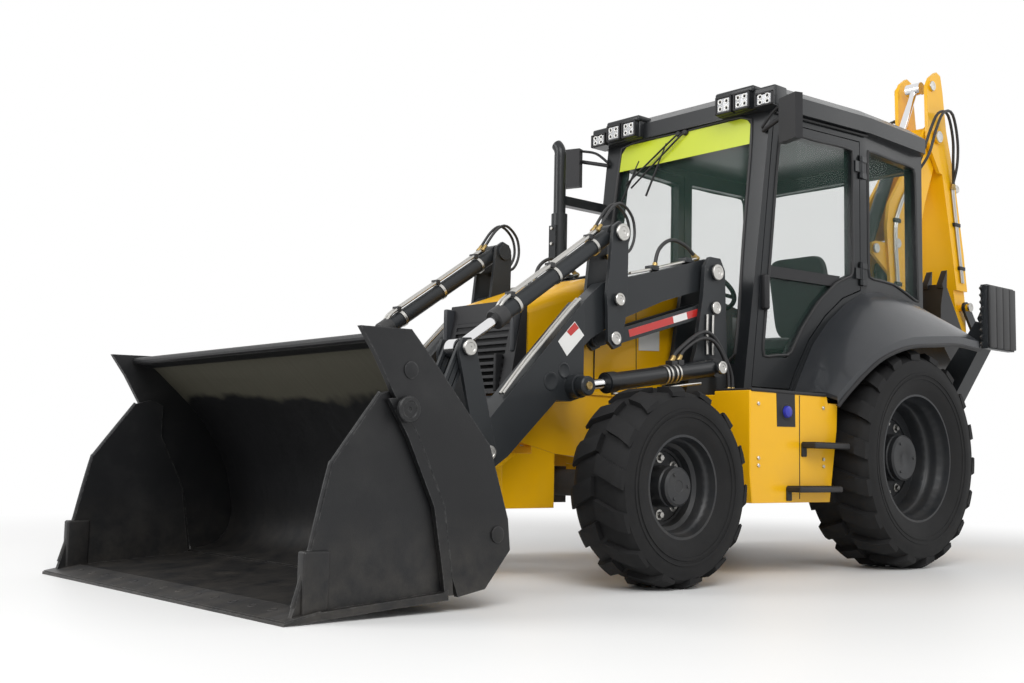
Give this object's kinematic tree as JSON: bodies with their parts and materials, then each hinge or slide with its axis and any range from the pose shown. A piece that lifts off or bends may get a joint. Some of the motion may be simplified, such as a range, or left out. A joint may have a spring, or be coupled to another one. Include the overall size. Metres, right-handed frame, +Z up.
{
  "type": "backhoe loader",
  "caption": "Four-wheel backhoe loader: cab, front loader with a jaw bucket on levelling linkages, swinging rear backhoe and two stabilizers.",
  "frame": {"origin": "on the floor under the middle of the whole machine", "axes": "+X forward, +Y left, +Z up"},
  "size_m": [6.947, 2.288, 3.7],
  "materials": {
    "yellow_paint": "gloss",
    "grey_paint": "satin",
    "black_paint": "satin",
    "red_paint": "satin",
    "worn_steel": "worn",
    "rim_paint": "satin",
    "tyre": "matte",
    "chrome": "polished",
    "glass": "clear",
    "plastic": "satin",
    "seat_fabric": "woven",
    "cast": "rough"
  },
  "bodies": {
    "chassis": {"main_frame": "yellow_paint", "loader_towers": "grey_paint", "engine_block": "cast", "hood": "yellow_paint", "grille": "plastic", "front_bumper": "yellow_paint", "axles": "cast", "exhaust_stack": "black_paint", "cab_frame": "black_paint", "cab_roof": "black_paint", "cab_glass": "glass", "mirrors": "plastic", "seat": "seat_fabric", "steering_console": "plastic", "rear_fenders": "plastic", "side_boxes": "yellow_paint"},
    "door_left": {"door_left": "black_paint", "door_left_glass": "glass"},
    "door_right": {"door_right": "black_paint", "door_right_glass": "glass"},
    "front_wheel_left": {"front_tyre_left": "tyre", "front_rim_left": "rim_paint"},
    "front_wheel_right": {"front_tyre_right": "tyre", "front_rim_right": "rim_paint"},
    "rear_wheel_left": {"rear_tyre_left": "tyre", "rear_rim_left": "rim_paint"},
    "rear_wheel_right": {"rear_tyre_right": "tyre", "rear_rim_right": "rim_paint"},
    "knuckle_left": {"knuckle_left": "cast"},
    "knuckle_right": {"knuckle_right": "cast"},
    "loader_arms": {"loader_arms": "grey_paint"},
    "levelling_cranks": {"levelling_cranks": "grey_paint"},
    "levelling_links": {"levelling_links": "red_paint"},
    "lift_barrels": {"lift_barrels": "black_paint"},
    "lift_rods": {"lift_rods": "chrome"},
    "tilt_barrels": {"tilt_barrels": "grey_paint"},
    "tilt_rods": {"tilt_rods": "chrome"},
    "tip_levers": {"tip_levers": "grey_paint"},
    "tip_links": {"tip_links": "grey_paint"},
    "loader_bucket": {"loader_bucket": "worn_steel"},
    "bucket_jaw": {"bucket_jaw": "worn_steel"},
    "swing_post": {"swing_post": "yellow_paint"},
    "boom": {"boom": "yellow_paint"},
    "boom_barrel": {"boom_barrel": "black_paint"},
    "boom_rod": {"boom_rod": "chrome"},
    "dipper": {"dipper": "yellow_paint"},
    "dipper_barrel": {"dipper_barrel": "black_paint"},
    "dipper_rod": {"dipper_rod": "chrome"},
    "hoe_bucket": {"hoe_bucket": "worn_steel"},
    "hoe_barrel": {"hoe_barrel": "black_paint"},
    "hoe_rod": {"hoe_rod": "chrome"},
    "guide_links": {"guide_links": "grey_paint"},
    "push_link": {"push_link": "grey_paint"},
    "stabilizer_left": {"stabilizer_left": "grey_paint"},
    "stabilizer_right": {"stabilizer_right": "grey_paint"},
    "leg_barrel_left": {"leg_barrel_left": "black_paint"},
    "leg_barrel_right": {"leg_barrel_right": "black_paint"},
    "leg_rod_left": {"leg_rod_left": "chrome"},
    "leg_rod_right": {"leg_rod_right": "chrome"}
  },
  "joints": [
    {"name": "door_left_hinge", "type": "hinge", "parent": "chassis", "child": "door_left", "pos_m": [-0.8295, 0.753, 1.9], "axis": [0, 0, 1], "range_deg": [0, 80]},
    {"name": "door_right_hinge", "type": "hinge", "parent": "chassis", "child": "door_right", "pos_m": [-0.8295, -0.753, 1.9], "axis": [0, 0, -1], "range_deg": [0, 80]},
    {"name": "steer_left", "type": "hinge", "parent": "chassis", "child": "knuckle_left", "pos_m": [1.2305, 0.69, 0.49], "axis": [0, 0, 1], "range_deg": [-36, 36]},
    {"name": "steer_right", "type": "hinge", "parent": "chassis", "child": "knuckle_right", "pos_m": [1.2305, -0.69, 0.49], "axis": [0, 0, 1], "range_deg": [-37, 37]},
    {"name": "front_wheel_left_spin", "type": "hinge", "parent": "knuckle_left", "child": "front_wheel_left", "pos_m": [1.2305, 0.9275, 0.49], "axis": [0, 1, 0], "continuous": true},
    {"name": "rear_wheel_left_spin", "type": "hinge", "parent": "chassis", "child": "rear_wheel_left", "pos_m": [-0.9445, 0.88, 0.66], "axis": [0, 1, 0], "continuous": true},
    {"name": "front_wheel_right_spin", "type": "hinge", "parent": "knuckle_right", "child": "front_wheel_right", "pos_m": [1.2305, -0.9275, 0.49], "axis": [0, 1, 0], "continuous": true},
    {"name": "rear_wheel_right_spin", "type": "hinge", "parent": "chassis", "child": "rear_wheel_right", "pos_m": [-0.9445, -0.88, 0.66], "axis": [0, 1, 0], "continuous": true},
    {"name": "loader_lift", "type": "hinge", "parent": "chassis", "child": "loader_arms", "pos_m": [0.3715, 0, 1.689], "axis": [0, -1, 0], "range_deg": [0, 80]},
    {"name": "levelling_crank", "type": "hinge", "parent": "loader_arms", "child": "levelling_cranks", "pos_m": [1.1735, 0, 1.453], "axis": [0, -1, 0], "range_deg": [-81, 1]},
    {"name": "levelling_link", "type": "hinge", "parent": "chassis", "child": "levelling_links", "pos_m": [0.3795, 0, 1.484], "axis": [0, -1, 0], "range_deg": [-1, 81]},
    {"name": "lift_barrel", "type": "hinge", "parent": "chassis", "child": "lift_barrels", "pos_m": [0.4545, 0, 1.136], "axis": [0, -1, 0], "range_deg": [-1, 73.25]},
    {"name": "lift_rod", "type": "slide", "parent": "lift_barrels", "child": "lift_rods", "axis": [0.9886, 0, -0.1509], "range_m": [-0.003, 0.74975]},
    {"name": "bucket_curl", "type": "hinge", "parent": "loader_arms", "child": "loader_bucket", "pos_m": [2.3555, 0, 0.3], "axis": [0, 1, 0], "range_deg": [-22, 105]},
    {"name": "tip_lever", "type": "hinge", "parent": "loader_arms", "child": "tip_levers", "pos_m": [2.0495, 0, 0.637], "axis": [0, 1, 0], "range_deg": [-14.72, 66.5]},
    {"name": "tip_link", "type": "hinge", "parent": "tip_levers", "child": "tip_links", "pos_m": [2.1825, 0, 1.125], "axis": [0, 1, 0], "range_deg": [-52.45, 11.78]},
    {"name": "tilt_rod", "type": "hinge", "parent": "tip_levers", "child": "tilt_rods", "pos_m": [2.1825, 0, 1.125], "axis": [0, 1, 0], "range_deg": [-64.76, 14.36]},
    {"name": "tilt_barrel", "type": "slide", "parent": "tilt_rods", "child": "tilt_barrels", "axis": [-0.8322, 0, 0.5545], "range_m": [-0.11906, 0.55691]},
    {"name": "jaw", "type": "hinge", "parent": "loader_bucket", "child": "bucket_jaw", "pos_m": [2.9595, 0, 0.795], "axis": [0, -1, 0], "range_deg": [0, 55]},
    {"name": "swing", "type": "hinge", "parent": "chassis", "child": "swing_post", "pos_m": [-2.3145, 0, 0.79], "axis": [0, 0, 1], "range_deg": [-90, 90]},
    {"name": "boom", "type": "hinge", "parent": "swing_post", "child": "boom", "pos_m": [-2.5045, 0, 0.85], "axis": [0, -1, 0], "range_deg": [0, 95]},
    {"name": "boom_barrel", "type": "hinge", "parent": "swing_post", "child": "boom_barrel", "pos_m": [-2.1245, 0, 1.15], "axis": [0, -1, 0], "range_deg": [-1, 90.34]},
    {"name": "boom_rod", "type": "slide", "parent": "boom_barrel", "child": "boom_rod", "axis": [-0.1885, 0, 0.9821], "range_m": [-0.003, 0.76947]},
    {"name": "dipper", "type": "hinge", "parent": "boom", "child": "dipper", "pos_m": [-2.8645, 0, 3.175], "axis": [0, 1, 0], "range_deg": [0, 110]},
    {"name": "dipper_barrel", "type": "hinge", "parent": "boom", "child": "dipper_barrel", "pos_m": [-2.0645, 0, 2.2], "axis": [0, 1, 0], "range_deg": [-1, 5.59]},
    {"name": "dipper_rod", "type": "slide", "parent": "dipper_barrel", "child": "dipper_rod", "axis": [-0.4703, 0, 0.8825], "range_m": [-0.64848, 0.003]},
    {"name": "hoe_bucket", "type": "hinge", "parent": "dipper", "child": "hoe_bucket", "pos_m": [-3.2845, 0, 1.57], "axis": [0, 1, 0], "range_deg": [0, 160]},
    {"name": "guide_link", "type": "hinge", "parent": "dipper", "child": "guide_links", "pos_m": [-3.2435, 0, 1.866], "axis": [0, 1, 0], "range_deg": [-1, 101]},
    {"name": "push_link", "type": "hinge", "parent": "guide_links", "child": "push_link", "pos_m": [-3.4285, 0, 1.643], "axis": [0, 1, 0], "range_deg": [-85.8, 1]},
    {"name": "hoe_barrel", "type": "hinge", "parent": "dipper", "child": "hoe_barrel", "pos_m": [-3.2445, 0, 2.83], "axis": [0, 1, 0], "range_deg": [-1, 9.68]},
    {"name": "hoe_rod", "type": "slide", "parent": "hoe_barrel", "child": "hoe_rod", "axis": [-0.1532, 0, -0.9882], "range_m": [-0.39647, 0.003]},
    {"name": "stabilizer_left", "type": "hinge", "parent": "chassis", "child": "stabilizer_left", "pos_m": [-1.8945, 0.475, 0.645], "axis": [-1, 0, 0], "range_deg": [0, 100]},
    {"name": "leg_barrel_left", "type": "hinge", "parent": "chassis", "child": "leg_barrel_left", "pos_m": [-1.8945, 0.18, 1.45], "axis": [-1, 0, 0], "range_deg": [-1, 9.67]},
    {"name": "leg_rod_left", "type": "slide", "parent": "leg_barrel_left", "child": "leg_rod_left", "axis": [0, 0.6035, -0.7974], "range_m": [-0.003, 0.43891]},
    {"name": "stabilizer_right", "type": "hinge", "parent": "chassis", "child": "stabilizer_right", "pos_m": [-1.8945, -0.475, 0.645], "axis": [1, 0, 0], "range_deg": [0, 100]},
    {"name": "leg_barrel_right", "type": "hinge", "parent": "chassis", "child": "leg_barrel_right", "pos_m": [-1.8945, -0.18, 1.45], "axis": [1, 0, 0], "range_deg": [-1, 9.67]},
    {"name": "leg_rod_right", "type": "slide", "parent": "leg_barrel_right", "child": "leg_rod_right", "axis": [0, -0.6035, -0.7974], "range_m": [-0.003, 0.43891]}
  ],
  "couplings": [
    {"joint": "steer_right", "follows": "steer_left", "ratio": 1},
    {"joint": "levelling_crank", "follows": "loader_lift", "ratio": -1},
    {"joint": "levelling_link", "follows": "loader_lift", "ratio": 1},
    {"joint": "lift_barrel", "follows": "loader_lift", "ratio": 0.90318},
    {"joint": "lift_rod", "follows": "loader_lift", "m_per_rad": 0.53482},
    {"joint": "tip_lever", "follows": "bucket_curl", "ratio": 0.62384},
    {"joint": "tip_link", "follows": "bucket_curl", "ratio": -0.49},
    {"joint": "tilt_rod", "follows": "bucket_curl", "ratio": -0.60727},
    {"joint": "tilt_barrel", "follows": "bucket_curl", "m_per_rad": 0.30226},
    {"joint": "boom_barrel", "follows": "boom", "ratio": 0.94046},
    {"joint": "boom_rod", "follows": "boom", "m_per_rad": 0.46227},
    {"joint": "dipper_barrel", "follows": "dipper", "ratio": 0.041773},
    {"joint": "dipper_rod", "follows": "dipper", "m_per_rad": -0.33621},
    {"joint": "guide_link", "follows": "hoe_bucket", "ratio": 0.625},
    {"joint": "push_link", "follows": "hoe_bucket", "ratio": -0.53},
    {"joint": "hoe_barrel", "follows": "hoe_bucket", "ratio": 0.054244},
    {"joint": "hoe_rod", "follows": "hoe_bucket", "m_per_rad": -0.1409},
    {"joint": "leg_barrel_left", "follows": "stabilizer_left", "ratio": 0.086697},
    {"joint": "leg_rod_left", "follows": "stabilizer_left", "m_per_rad": 0.24976},
    {"joint": "leg_barrel_right", "follows": "stabilizer_right", "ratio": 0.086697},
    {"joint": "leg_rod_right", "follows": "stabilizer_right", "m_per_rad": 0.24976}
  ]
}
